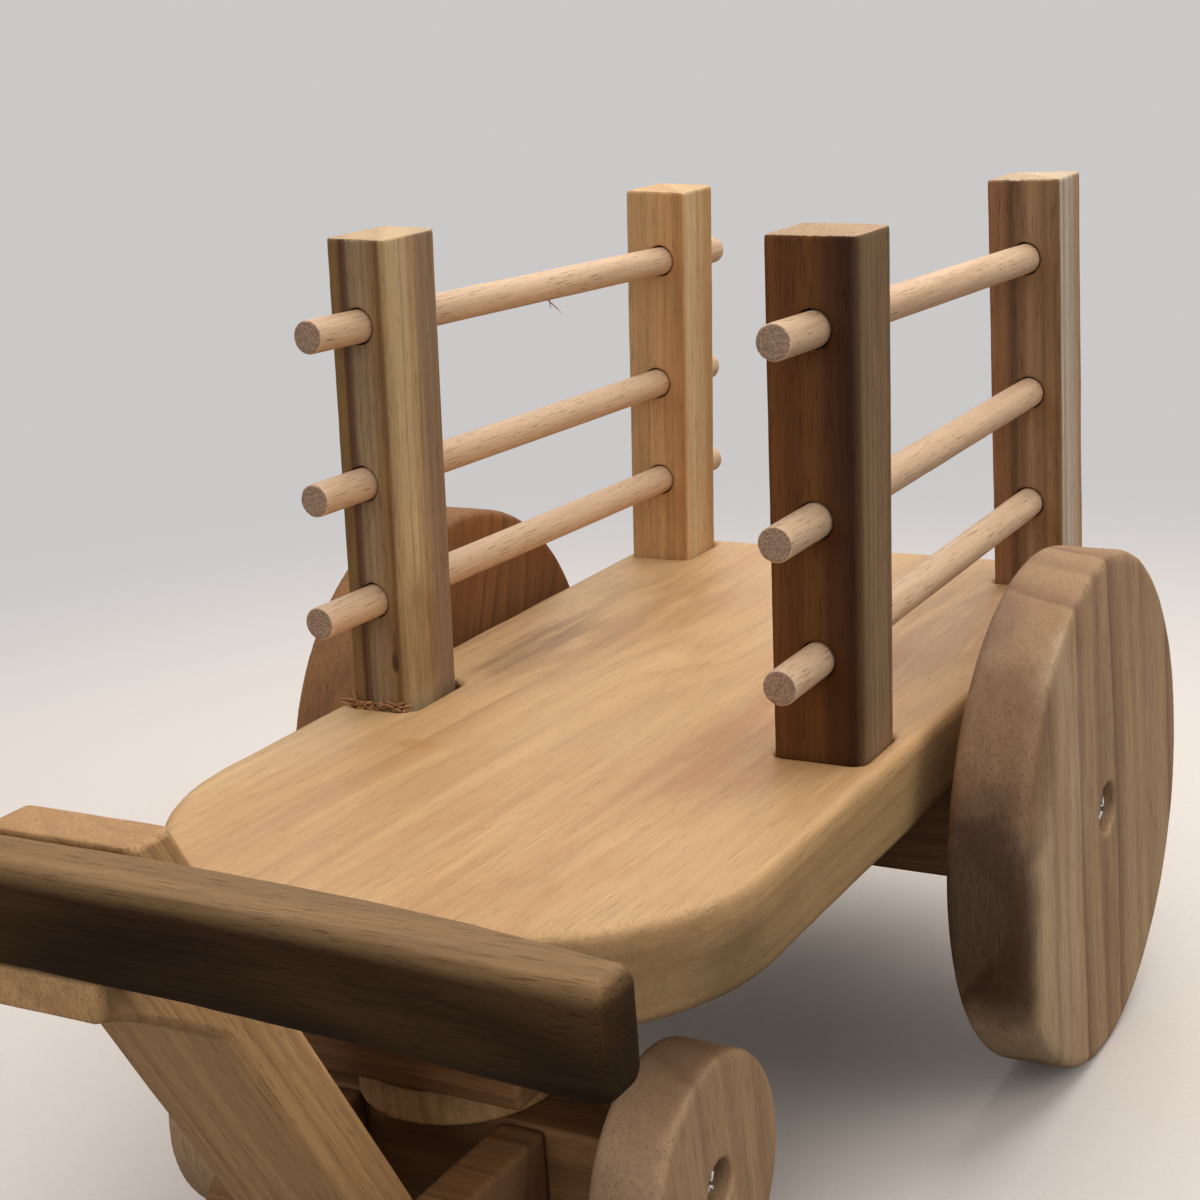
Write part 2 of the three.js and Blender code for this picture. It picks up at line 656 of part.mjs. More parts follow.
// The handle from above: both ends swept a little forward, with a flat seat at the middle.
function handleOutline() {
  const { halfLength, frontCentreY, frontEndY, backCentreY, backEndY, endRound: round } = HANDLE;
  const seat = DRAWBAR.halfWidth + HANDLE.seatSpare;
  const bendX = halfLength * HANDLE.bend;
  const front = handleY(frontEndY);
  const back = handleY(backEndY);
  const frontDip = 2 * handleY(frontCentreY) - front;
  const shape = new THREE.Shape();
  shape.moveTo(-halfLength + round, front);
  shape.quadraticCurveTo(0, frontDip, halfLength - round, front);
  shape.quadraticCurveTo(halfLength, front, halfLength, front + round);
  shape.lineTo(halfLength, back - round);
  shape.quadraticCurveTo(halfLength, back, halfLength - round, back);
  shape.quadraticCurveTo(bendX, handleY(backCentreY), seat, handleY(backCentreY));
  shape.lineTo(-seat, handleY(backCentreY));
  shape.quadraticCurveTo(-bendX, handleY(backCentreY), -halfLength + round, back);
  shape.quadraticCurveTo(-halfLength, back, -halfLength, back - round);
  shape.lineTo(-halfLength, front + round);
  shape.quadraticCurveTo(-halfLength, front, -halfLength + round, front);
  return shape;
}

function makeDrawbar() {
  const group = new THREE.Group();
  group.position.set(0, DRAWBAR.pivotY, DRAWBAR.pivotZ);
  const screwY = handleY((LIP.frontY + HANDLE.backCentreY) / 2);
  const lipBottom = handleBottom - GAP - LIP.depth;
  const screwHoles = [];
  for (const [name, side] of Object.entries(SIDES)) {
    const at = [side * HANDLE_SCREW.x, screwY, lipBottom];
    screwHoles.push(woodScrewCutter(HANDLE_SCREW.length, 'down', at));
    addWoodScrew(group, `handle_screw_${name}`, HANDLE_SCREW.length, 'down', at);
  }
  const pinReach = DRAWBAR.halfWidth + OVERRUN;
  const pinBore = rod(DRAWBAR.pin + GAP, [-pinReach, 0, 0], [pinReach, 0, 0]);
  const bar = alongX(drawbarOutline(), 2 * DRAWBAR.halfWidth, DRAWBAR.edgeRound, 6, 1);
  addPiece(group, 'drawbar', bar, wood(COLOURS.drawbar),
    { cutters: [pinBore, ...screwHoles] });
  const handle = slab(handleOutline(), HANDLE.thickness, HANDLE.edgeRound, 6).translate(0, 0, handleBottom);
  addPiece(group, 'handle_bar', handle, wood(COLOURS.handle), { cutters: screwHoles });
  return group;
}

// ---- The whole truck ------------------------------------------------------------------------

const truck = new THREE.Group();
truck.add(makeChassis(), makeRearWheels(), makeFrontAxle(), makeDrawbar());

export default truck;
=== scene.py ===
"""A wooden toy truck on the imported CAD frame: finely shaped pieces in procedural woods and steel."""

import json
import math
import random

import bmesh
import bpy
import numpy as np
from mathutils import Matrix, Vector, noise


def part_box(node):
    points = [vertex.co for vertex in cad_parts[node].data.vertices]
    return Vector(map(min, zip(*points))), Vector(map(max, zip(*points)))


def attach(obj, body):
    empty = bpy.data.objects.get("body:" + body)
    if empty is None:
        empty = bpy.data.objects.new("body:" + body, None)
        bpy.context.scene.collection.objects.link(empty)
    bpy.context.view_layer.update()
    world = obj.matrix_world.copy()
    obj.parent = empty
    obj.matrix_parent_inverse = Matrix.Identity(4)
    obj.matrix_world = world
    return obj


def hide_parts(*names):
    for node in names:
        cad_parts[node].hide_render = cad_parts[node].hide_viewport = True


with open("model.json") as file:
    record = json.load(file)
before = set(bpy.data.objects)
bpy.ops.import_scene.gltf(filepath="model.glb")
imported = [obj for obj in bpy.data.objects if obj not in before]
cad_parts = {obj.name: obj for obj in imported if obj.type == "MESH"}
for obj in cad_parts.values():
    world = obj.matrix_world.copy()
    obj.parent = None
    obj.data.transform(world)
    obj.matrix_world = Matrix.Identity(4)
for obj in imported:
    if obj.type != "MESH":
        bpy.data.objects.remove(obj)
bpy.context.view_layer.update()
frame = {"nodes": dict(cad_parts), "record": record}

MM = 0.001
BODY_OF = {node: body for body, nodes in frame["record"]["behaviour"]["bodies"].items() for node in nodes}
SLOT_OF = {part["node"]: part["material_slot"] for part in frame["record"]["subparts"]}
SIDES = ("left", "right")
CORNERS = ("front_left", "front_right", "rear_left", "rear_right")
X, Y, Z = range(3)


def metres(values):
    """Millimetres as metres."""
    return tuple(value * MM for value in values)


def cad_points(node):
    """The corners of a CAD node's mesh, in metres."""
    return np.array([tuple(vertex.co) for vertex in frame["nodes"][node].data.vertices])


def linear(r, g, b):
    """An 8-bit sRGB colour as the linear RGBA that shaders take."""
    channels = [c / 255 for c in (r, g, b)]
    return tuple(c / 12.92 if c <= 0.04045 else ((c + 0.055) / 1.055) ** 2.4 for c in channels) + (1,)


# ---- Materials ------------------------------------------------------------------------------


# How fast the ragged edge of a patch changes, per metre along each axis.
PATCH_TATTER = (150, 60, 150)


class Shading:
    """A short way to write a material's nodes."""

    def __init__(self, name):
        self.material = bpy.data.materials.new(name)
        self.material.use_nodes = True
        self.tree = self.material.node_tree
        self.surface = self.tree.nodes["Principled BSDF"]
        self.object_point = self.add("ShaderNodeTexCoord").outputs["Object"]
        self.object_normal = self.object_point.node.outputs["Normal"]

    def add(self, kind, values=(), **settings):
        node = self.tree.nodes.new(kind)
        for key, value in settings.items():
            setattr(node, key, value)
        for key, value in dict(values).items():
            self.feed(node.inputs[key], value)
        return node

    def feed(self, socket, value):
        if isinstance(value, bpy.types.NodeSocket):
            self.tree.links.new(value, socket)
        else:
            socket.default_value = value

    def maths(self, operation, *values):
        return self.add("ShaderNodeMath", enumerate(values), operation=operation).outputs[0]

    def vector(self, operation, *values):
        node = self.add("ShaderNodeVectorMath", enumerate(values), operation=operation)
        return node.outputs["Value" if operation in ("LENGTH", "DOT_PRODUCT") else "Vector"]

    def scaled(self, vector, factor):
        return self.add("ShaderNodeVectorMath", {0: vector, 3: factor}, operation="SCALE").outputs["Vector"]

    def noise(self, point, scale, detail=2.0, roughness=0.5):
        """Noise from 0 to 1, with its own scale along each axis."""
        scaled = self.vector("MULTIPLY", point, scale)
        values = {"Vector": scaled, "Scale": 1.0, "Detail": detail, "Roughness": roughness}
        return self.add("ShaderNodeTexNoise", values)

    def ramp(self, value, stops, interpolation="LINEAR"):
        node = self.add("ShaderNodeValToRGB", {"Fac": value})
        node.color_ramp.interpolation = interpolation
        elements = node.color_ramp.elements
        while len(elements) < len(stops):
            elements.new(0.5)
        for element, (position, colour) in zip(elements, stops):
            element.position = position
            element.color = colour if isinstance(colour, tuple) else (colour, colour, colour, 1)
        return node.outputs["Color"]

    def mix(self, factor, a, b, blend="MIX"):
        node = self.add("ShaderNodeMix", data_type="RGBA", blend_type=blend)
        for socket, value in zip((node.inputs[0], node.inputs[6], node.inputs[7]), (factor, a, b)):
            self.feed(socket, value)
        return node.outputs[2]

    def smooth(self, value, low, high, to_low=0.0, to_high=1.0):
        names = ("Value", "From Min", "From Max", "To Min", "To Max")
        values = dict(zip(names, (value, low, high, to_low, to_high)))
        return self.add("ShaderNodeMapRange", values, interpolation_type="SMOOTHSTEP").outputs["Result"]

    def patch(self, centre, radii, softness=0.35, ragged=0.5):
        """1 inside an ellipsoid about centre, falling to 0 past a ragged edge."""
        away = self.vector("DIVIDE", self.vector("SUBTRACT", self.object_point, centre), radii)
        tatter = self.noise(self.object_point, PATCH_TATTER, 3).outputs["Fac"]
        reach = self.maths("ADD", self.vector("LENGTH", away), self.maths("MULTIPLY", tatter, ragged))
        middle = 1 + ragged / 2
        return self.smooth(reach, middle - softness, middle + softness, 1.0, 0.0)

    def bump(self, height, distance, strength=1.0):
        values = {"Height": height, "Distance": distance, "Strength": strength}
        self.feed(self.surface.inputs["Normal"], self.add("ShaderNodeBump", values).outputs["Normal"])


# How fast each kind of noise changes in the wood, per metre: twice across the grain, then along it.
GRAIN = {
    "drift": (20, 20, 5),
    "ripple": (110, 110, 22),
    "fibre": (1500, 1500, 34),
    "strand": (380, 380, 7),
    "pore": (3000, 3000, 150),
    "cloud": (26, 26, 6),
    "streak": (230, 230, 26),
    "speckle": (1900, 1900, 1900),
    "edge_patch": (160, 160, 60),
}

# The middle value of colour noise, taken away to let it push both ways.
MIDDLE_GREY = (0.5, 0.5, 0.5)

# What the wood's colour is multiplied by in its pores, and on its edges, where the paler tint is partly
# rubbed wear and partly a painted highlight.
PORE_SHADE = (0.36, 0.27, 0.2, 1)
RUB_AND_HIGHLIGHT_TINT = (1.45, 1.4, 1.32, 1)

# How late the wood is along each ring: pale early wood, then dark late wood up to the ring's edge.
RING_PROFILE = [(0, 0.45), (0.1, 0.05), (0.45, 0.12), (0.84, 0.85), (0.93, 1.0), (1, 0.45)]

# How many rings' widths the spacing of the rings drifts by.
RING_UNEVENNESS = 2.6


def growth_rings(s, straight, pith, ring, wave, curl):
    """Rings that waver about a pith line: the wavering points, the drift behind them, and the late wood."""
    slow = s.noise(straight, GRAIN["drift"], 2).outputs["Color"]
    quick = s.noise(straight, GRAIN["ripple"], 2).outputs["Color"]
    reach = wave * 2 * MM
    if curl:
        centre, radii, amount = curl
        inside = s.patch(metres(centre), metres(radii), 0.6)
        reach = s.maths("ADD", s.maths("MULTIPLY", inside, amount * 2 * MM), reach)
    drift = s.vector("SUBTRACT", slow, MIDDLE_GREY)
    wander = s.scaled(drift, reach)
    ripple = s.vector("MULTIPLY", s.vector("SUBTRACT", quick, MIDDLE_GREY), metres((0.9, 0.9, 0)))
    bent = s.vector("ADD", s.vector("ADD", straight, wander), ripple)
    from_pith = s.vector("SUBTRACT", bent, metres((*pith, 0)))
    across = s.vector("LENGTH", s.vector("MULTIPLY", from_pith, (1, 1, 0)))
    rings = s.maths("DIVIDE", across, ring * MM)
    uneven = s.add("ShaderNodeTexNoise", {"W": rings, "Scale": 0.33, "Detail": 2}, noise_dimensions="1D")
    rings = s.maths("MULTIPLY_ADD", uneven.outputs["Fac"], RING_UNEVENNESS, rings)
    late = s.ramp(s.maths("FRACT", rings), RING_PROFILE)
    own = s.add("ShaderNodeTexWhiteNoise", {"W": s.maths("FLOOR", rings)}, noise_dimensions="1D")
    late = s.maths("MULTIPLY", late, s.smooth(own.outputs["Value"], 0, 1, 0.25, 1.0))
    return bent, drift, late


def striped_colour(s, straight, drift, late, stripes, dark, contrast, wave):
    """Broad bands of colour that sway with the drift, darkened by the late wood: heartwood and sapwood on
    the posts, and on the handle bar painted shade, dark on its front under a paler top.
    """
    start, gradient, stops = stripes
    sway = s.scaled(drift, wave * MM)
    wavering = s.vector("SUBTRACT", s.vector("ADD", straight, sway), metres(start))
    place = s.vector("DOT_PRODUCT", wavering, tuple(share / MM for share in gradient))
    body = s.ramp(place, [(at, linear(*colour)) for at, colour in stops], "EASE")
    return s.mix(s.maths("MULTIPLY", late, contrast), body, s.mix(0.75, body, linear(*dark)))


def marked_colour(s, base, bent, patches, stains):
    """Patches, which show in streaks along the grain, and even marks, which are real stains and also painted
    shade, laid over the base colour.
    """
    streaks = s.smooth(s.noise(bent, GRAIN["streak"], 2).outputs["Fac"], 0.36, 0.6, 0.25, 1.0)
    for centre, radii, colour, amount in patches:
        mask = s.maths("MULTIPLY", s.patch(metres(centre), metres(radii)), amount)
        base = s.mix(s.maths("MULTIPLY", mask, streaks), base, linear(*colour))
    for centre, radii, colour, amount in stains:
        mask = s.maths("MULTIPLY", s.patch(metres(centre), metres(radii)), amount)
        base = s.mix(mask, base, linear(*colour))
    return base


def rubbed_and_highlit_edges(s, base, straight, wear_and_highlight):
    """The base colour, paler in patches on its convex edges: partly rubbed wear, partly a painted highlight
    along the edges.
    """
    edges = s.smooth(s.add("ShaderNodeNewGeometry").outputs["Pointiness"], 0.505, 0.56)
    patchy = s.smooth(s.noise(straight, GRAIN["edge_patch"], 3).outputs["Fac"], 0.35, 0.65)
    rubbed_and_highlit = s.maths("MULTIPLY", s.maths("MULTIPLY", edges, patchy), wear_and_highlight)
    return s.mix(rubbed_and_highlit, base, s.mix(1.0, base, RUB_AND_HIGHLIGHT_TINT, "MULTIPLY"))


def wood(
    name,
    light,
    dark,
    grain=(0, 1, 0),
    origin=(0, 0, 0),
    pith=(0, 0),
    ring=4.0,
    contrast=0.6,
    wave=3.0,
    stripes=None,
    patches=(),
    stains=(),
    curl=None,
    pores=0.45,
    fibre=0.22,
    end_tone=0.6,
    end_colour=(120, 92, 68),
    tone=0.3,
    tone_colour=(150, 112, 72),
    wear_and_highlight=0.3,
    roughness=0.6,
    shine=0.32,
    relief=0.10,
):
    """A solid wood: growth rings about a pith line, fibres and pores along the grain, and end grain.

    Lengths are in millimetres and colours in 8-bit sRGB. The wood's own frame has its origin at
    origin and its third axis along the grain, and the pith line stands at pith in it. stripes is
    (start, gradient, stops): broad bands of colour in that frame, heartwood and sapwood on the posts
    and, on the handle bar, painted shade, dark on its front under a paler top. patches are
    (centre, radii, colour, amount), streaked along the grain. The even stains, in the same form, are
    real stains and also painted shade, low on the deck's front and side and on the wheel's lower tread.
    curl is (centre, radii, amount) of wavy figure. The centres are places on the truck.
    """
    s = Shading(name)
    turn = Vector(grain).rotation_difference(Vector((0, 0, 1))).to_euler()
    lay = s.add("ShaderNodeVectorRotate", {"Rotation": turn}, rotation_type="EULER_XYZ")
    s.feed(lay.inputs["Vector"], s.vector("SUBTRACT", s.object_point, metres(origin)))
    straight = lay.outputs["Vector"]
    bent, drift, late = growth_rings(s, straight, pith, ring, wave, curl)

    fine = s.noise(straight, GRAIN["fibre"], 3, 0.6).outputs["Fac"]
    coarse = s.noise(bent, GRAIN["strand"], 2, 0.6).outputs["Fac"]
    streak = s.maths("ADD", s.maths("MULTIPLY", fine, 0.55), s.maths("MULTIPLY", coarse, 0.45))
    dashes = s.noise(straight, GRAIN["pore"], 1).outputs["Fac"]
    pore = s.maths("MULTIPLY", s.smooth(dashes, 0.6, 0.74), s.smooth(late, 0, 1, 1.0, 0.55))

    if stripes:
        base = striped_colour(s, straight, drift, late, stripes, dark, contrast, wave)
    else:
        base = s.mix(s.maths("MULTIPLY", late, contrast), linear(*light), linear(*dark))
    cloud = s.noise(bent, GRAIN["cloud"], 3, 0.55).outputs["Fac"]
    base = s.mix(s.smooth(cloud, 0.35, 0.75, 0, tone), base, linear(*tone_colour))
    base = marked_colour(s, base, bent, patches, stains)
    shade = s.smooth(streak, 0.3, 0.7, 1 - fibre, 1 + fibre * 0.45)
    grey = s.add("ShaderNodeCombineColor", {0: shade, 1: shade, 2: shade}).outputs[0]
    base = s.mix(1.0, base, grey, "MULTIPLY")
    base = s.mix(s.maths("MULTIPLY", pore, pores), base, s.mix(1.0, base, PORE_SHADE, "MULTIPLY"))

    along_grain = tuple(Vector(grain).normalized())
    facing = s.maths("ABSOLUTE", s.vector("DOT_PRODUCT", s.object_normal, along_grain))
    end = s.smooth(facing, 0.7, 0.92)
    speckle = s.noise(straight, GRAIN["speckle"], 2).outputs["Fac"]
    sawn = s.mix(s.smooth(speckle, 0.35, 0.7, 0, 0.45), linear(*end_colour), base)
    base = s.mix(s.maths("MULTIPLY", end, end_tone), base, sawn)
    s.feed(s.surface.inputs["Base Color"], rubbed_and_highlit_edges(s, base, straight, wear_and_highlight))

    gloss = s.maths("MULTIPLY_ADD", streak, 0.22, roughness - 0.11)
    gloss = s.maths("MULTIPLY_ADD", late, -0.08, gloss)
    gloss = s.maths("MULTIPLY_ADD", end, 0.2, gloss)
    s.feed(s.surface.inputs["Roughness"], gloss)
    s.surface.inputs["Specular IOR Level"].default_value = shine
    height = s.maths("MULTIPLY_ADD", late, 0.35, s.maths("MULTIPLY", streak, 0.8))
    height = s.maths("MULTIPLY_ADD", pore, -0.6, height)
    height = s.maths("MULTIPLY_ADD", s.maths("MULTIPLY", end, speckle), 1.1, height)
    s.bump(height, relief * 2 * MM, 0.8)
    return s.material


# What zinc's colour is multiplied by where it has gone dull.
DULL_ZINC = (0.62, 0.56, 0.5, 1)


def steel(name, colour=(196, 192, 186), roughness=0.3):
    """Zinc-plated steel: turned marks, a dull cloudiness and small scratches."""
    s = Shading(name)
    cloud = s.noise(s.object_point, (420, 420, 420), 3, 0.6).outputs["Fac"]
    scratch = s.noise(s.object_point, (2600, 2600, 260), 2).outputs["Fac"]
    dull = s.mix(1.0, linear(*colour), DULL_ZINC, "MULTIPLY")
    s.feed(s.surface.inputs["Base Color"], s.mix(s.smooth(cloud, 0.4, 0.72), linear(*colour), dull))
    s.surface.inputs["Metallic"].default_value = 1.0
    marks = s.maths("ADD", cloud, scratch)
    s.feed(s.surface.inputs["Roughness"], s.smooth(marks, 0.7, 1.4, roughness, roughness + 0.25))
    s.bump(marks, 0.02 * MM)
    return s.material


def post_frame(node):
    """A post's foot, the way it leans, and half its width and depth, in millimetres."""
    points = cad_points(node) / MM
    foot = points[points[:, 2] < points[:, 2].min() + 1]
    top = points[points[:, 2] > points[:, 2].max() - 1]
    half = (foot.max(0) - foot.min(0)) / 2
    middle = [(end.max(0) + end.min(0)) / 2 for end in (foot, top)]
    return tuple(middle[0]), tuple(middle[1] - middle[0]), half[0], half[1]


def post_wood(name, node, dark, stops, **settings):
    """Wood for a post, striped from its front left edge (0) to its front right edge (0.5) and back (1)."""
    foot, lean, half_width, half_depth = post_frame(node)
    gradient = (0.25 / half_width, 0.25 / half_depth, 0)
    stripes = ((-half_width, -half_depth, 0), gradient, stops)
    return wood(name, stops[0][1], dark, grain=lean, origin=foot, stripes=stripes, **settings)


WHEEL_CENTRE = tuple(sum(corner[i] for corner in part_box("rear_wheel_right")) / 2 / MM for i in range(3))
DECK_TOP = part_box("deck")[1].z / MM
DECK_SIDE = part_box("deck")[1].x / MM

MATERIALS = {
    "deck_wood": wood(
        "deck_wood", (208, 170, 122), (170, 122, 78), grain=(0.03, 1, 0), pith=(46, 52), ring=4.6,
        contrast=0.5, wave=6, tone=0.45, tone_colour=(188, 138, 90), pores=0.3, fibre=0.14,
        end_colour=(96, 76, 46), end_tone=0.85, roughness=0.52, relief=0.05,
        curl=((-20, 110, DECK_TOP), (60, 60, 30), 14),
        patches=[
            ((-42, 84, DECK_TOP), (26, 52, 9), (156, 118, 78), 0.5),
            ((-50, 62, DECK_TOP), (8, 24, 5), (128, 94, 64), 0.5),
            ((50, 110, DECK_TOP), (20, 50, 9), (150, 108, 68), 0.5),
            ((38, 30, DECK_TOP), (16, 60, 9), (178, 120, 72), 0.5),
            ((20, -60, DECK_TOP), (26, 60, 10), (190, 136, 92), 0.5),
            ((-30, -60, DECK_TOP), (26, 60, 10), (186, 142, 96), 0.5),
        ],
        stains=[
            ((-36, -15, DECK_TOP), (5, 3, 3), (186, 126, 68), 0.45),
            # Painted shade, with an olive brown of the wood's own: the low right side and the low front
            # right corner are darkened where shade falls on them.
            ((DECK_SIDE, 0, 78), (7, 120, 13), (120, 100, 66), 0.5),
            ((40, -90, 80), (70, 45, 13), (100, 80, 50), 0.6),
        ]),
    "striped_post_wood": post_wood(
        "striped_post_wood", "post_front_left", (82, 54, 32),
        [(0, (140, 106, 58)), (0.09, (132, 98, 54)), (0.125, (92, 56, 34)), (0.16, (106, 76, 54)),
         (0.2, (148, 122, 90)), (0.31, (162, 134, 100)), (0.4, (146, 114, 74)), (0.455, (122, 88, 48)),
         (0.5, (168, 140, 98)), (0.56, (196, 170, 128)), (0.66, (204, 178, 138)), (0.75, (180, 150, 112)),
         (0.85, (154, 128, 102)), (1, (150, 122, 94))],
        pith=(-30, 24), ring=2.6, contrast=0.4, wave=1.4, tone=0.15, tone_colour=(120, 92, 58),
        end_colour=(216, 186, 148), end_tone=0.85,
        patches=[((-51, 14, 112), (4, 9, 15), (124, 84, 50), 0.5)],
        stains=[
            ((-54.6, 6.3, 107), (0.9, 3, 2.6), (62, 36, 12), 0.85),
            ((-54.2, 6.3, 111), (0.6, 3, 3.5), (104, 66, 30), 0.6),
        ]),
    "dark_post_wood": post_wood(
        "dark_post_wood", "post_front_right", (44, 24, 8),
        [(0, (112, 68, 30)), (0.12, (100, 58, 22)), (0.26, (108, 66, 26)), (0.36, (78, 42, 14)),
         (0.47, (58, 30, 10)), (0.53, (96, 70, 46)), (0.6, (138, 112, 84)), (0.75, (148, 120, 90)),
         (1, (134, 106, 78))],
        pith=(-34, 60), ring=3.4, contrast=0.55, wave=1.8, tone=0.25, shine=0.2, tone_colour=(80, 44, 14),
        end_colour=(200, 168, 136), end_tone=0.95),
    "pale_post_wood": post_wood(
        "pale_post_wood", "post_rear_left", (162, 112, 64),
        [(0, (206, 164, 114)), (0.2, (206, 162, 110)), (0.4, (196, 150, 98)), (0.49, (184, 136, 84)),
         (0.53, (214, 180, 134)), (0.62, (218, 188, 144)), (0.78, (204, 168, 122)), (0.9, (190, 148, 100)),
         (1, (198, 160, 114))],
        pith=(26, 40), ring=2.4, contrast=0.3, wave=1.2, tone=0.15, tone_colour=(182, 136, 90),
        end_colour=(220, 184, 142), end_tone=0.8),
    "brown_post_wood": post_wood(
        "brown_post_wood", "post_rear_right", (84, 54, 32),
        [(0, (150, 104, 68)), (0.1, (144, 102, 68)), (0.16, (108, 76, 50)), (0.22, (130, 96, 66)),
         (0.3, (160, 126, 90)), (0.42, (154, 118, 80)), (0.5, (136, 102, 68)), (0.54, (204, 188, 166)),
         (0.68, (208, 192, 170)), (0.78, (194, 174, 150)), (0.88, (180, 144, 114)), (1, (166, 126, 94))],
        pith=(-24, 36), ring=2.2, contrast=0.55, wave=1.4, tone=0.15, tone_colour=(126, 92, 60),
        end_colour=(216, 190, 158), end_tone=0.85),
    "beech_dowel": wood(
        "beech_dowel", (216, 184, 152), (196, 156, 122), grain=(0, 1, 0), pith=(0, 60), ring=2.4,
        contrast=0.3, wave=0.8, pores=0.7, fibre=0.14, end_colour=(132, 106, 90), end_tone=0.95,
        tone=0.2, tone_colour=(216, 168, 130), roughness=0.6, relief=0.05),
    "wheel_wood": wood(
        "wheel_wood", (186, 154, 118), (112, 76, 60), grain=(0, -0.08, 1), origin=WHEEL_CENTRE,
        pith=(60, 190), ring=15, contrast=0.85, wave=8, tone=0.4, tone_colour=(160, 118, 84),
        end_colour=(150, 112, 84), end_tone=0.5, pores=0.5, fibre=0.2,
        patches=[
            ((98, 42, 66), (6, 20, 60), (196, 170, 138), 0.6),
            ((98, 84, 60), (6, 10, 70), (140, 106, 80), 0.5),
            ((98, 118, 60), (6, 12, 60), (176, 146, 112), 0.5),
        ],
        stains=[
            ((88, 25, 94), (18, 16, 24), (126, 90, 60), 0.7),
            # Painted shade: the wheel's lower front tread is darkened to dark brown, standing in for the
            # shade that falls there.
            ((88, 14, 52), (16, 14, 38), (62, 36, 16), 0.85),
            ((80, 50, 116), (8, 10, 10), (108, 88, 82), 0.5),
        ]),
    "dark_wheel_wood": wood(
        "dark_wheel_wood", (156, 108, 66), (88, 52, 28), grain=(0, 0.35, 1), origin=(-88, 78, 62),
        pith=(-30, 80), ring=5, contrast=0.6, wave=9, tone=0.5, tone_colour=(128, 80, 42),
        end_colour=(150, 108, 70), end_tone=0.5),
    "axle_wood": wood(
        "axle_wood", (122, 84, 50), (74, 46, 26), grain=(1, 0, 0), pith=(20, 60), ring=3,
        contrast=0.6, wave=3, end_colour=(120, 88, 58)),
    "handle_wood": wood(
        "handle_wood", (66, 42, 24), (34, 20, 10), grain=(1, 0, 0), origin=(0, -180, 117.6),
        pith=(-80, 30), ring=3.4, contrast=0.6, wave=2, end_colour=(52, 38, 24), shine=0.08,
        # Painted shade and light: the bands run up the bar, near black on its front and low down and pale
        # tan on its top, where the overhead light falls.
        stripes=((0, 0, 0), (-1 / 18, 0, 0), [
            (0, (30, 18, 8)), (0.5, (36, 22, 11)), (0.8, (52, 34, 20)), (0.95, (116, 90, 60)),
            (1, (140, 110, 78))])),
    "drawbar_wood": wood(
        "drawbar_wood", (190, 148, 102), (146, 102, 62), grain=(0, -0.494, 0.87), origin=(0, -104, 27.5),
        pith=(12, 30), ring=3.4, contrast=0.5, wave=3, end_colour=(168, 130, 90)),
    "steel": steel("zinc_steel"),
}


# ---- Finely shaped pieces -------------------------------------------------------------------


def add_object(name, data):
    thing = bpy.data.objects.new(name, data)
    bpy.context.scene.collection.objects.link(thing)
    return thing


def new_piece(name, mesh, node):
    """Adds a mesh as the piece that stands for a CAD node, with its material and its body."""
    piece = add_object(name, mesh)
    mesh.materials.clear()
    mesh.materials.append(MATERIALS[SLOT_OF[node]])
    mesh.polygons.foreach_set("use_smooth", [True] * len(mesh.polygons))
    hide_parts(node)
    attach(piece, BODY_OF[node])
    return piece


def keep_inside(mesh, points, node):
    """Writes points to a mesh, kept inside the CAD node's box."""
    low, high = (np.array(corner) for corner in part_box(node))
    mesh.vertices.foreach_set("co", np.clip(points, low, high).astype(np.float32).ravel())
    mesh.update()


def arrays(mesh):
    """A mesh's points and the normals at them."""
    points = np.zeros(len(mesh.vertices) * 3, np.float32)
    normals = np.zeros(len(mesh.vertices) * 3, np.float32)
    mesh.vertices.foreach_get("co", points)
    mesh.vertex_normals.foreach_get("vector", normals)
    return points.reshape(-1, 3).astype(float), normals.reshape(-1, 3).astype(float)


def field(points, frequency, seed=0.0):
    """Smooth noise from -1 to 1 at each point, with its own frequency along each axis, per metre."""
    scaled = points * np.array(frequency) + seed
    return np.array([noise.noise(Vector(p)) for p in scaled])


def fine_copy(node, voxel):
    """The CAD node's mesh, remeshed with small even faces that soften its sharp edges."""
    mesh = frame["nodes"][node].data.copy()
    loose = bmesh.new()
    loose.from_mesh(mesh)
    bmesh.ops.remove_doubles(loose, verts=loose.verts, dist=1e-6)
    loose.to_mesh(mesh)
    loose.free()
    carrier = add_object("carrier", mesh)
    remesh = carrier.modifiers.new("remesh", "REMESH")
    remesh.mode = "VOXEL"
    remesh.voxel_size = voxel * MM
    evaluated = carrier.evaluated_get(bpy.context.evaluated_depsgraph_get())
    fine = bpy.data.meshes.new_from_object(evaluated)
    bpy.data.objects.remove(carrier)
    return fine


# How fast hand sanding's broad and small unevenness changes, per metre.
BROAD_DIPS = (45, 45, 45)
SMALL_DIPS = (160, 160, 160)


def hand_worked(node, voxel, undulation, shape=None):
    """A wooden piece with the small unevenness of hand sanding, and its own shape where given."""
    mesh = fine_copy(node, voxel)
    points, normals = arrays(mesh)
    seed = len(node)
    uneven = field(points, BROAD_DIPS, seed) + 0.4 * field(points, SMALL_DIPS, seed)
    points = points + normals * (undulation * MM * uneven)[:, None]
    if shape:
        points = shape(points, normals)
    keep_inside(mesh, points, node)
    return new_piece("wood." + node, mesh, node)


# How far in from a sawn end its torn edge reaches, and how fast its bites and ridges change, per metre.
SAW_REACH = 1.2 * MM
SAW_BITES = (700, 700, 240)
SAW_RIDGES = (900, 130, 40)


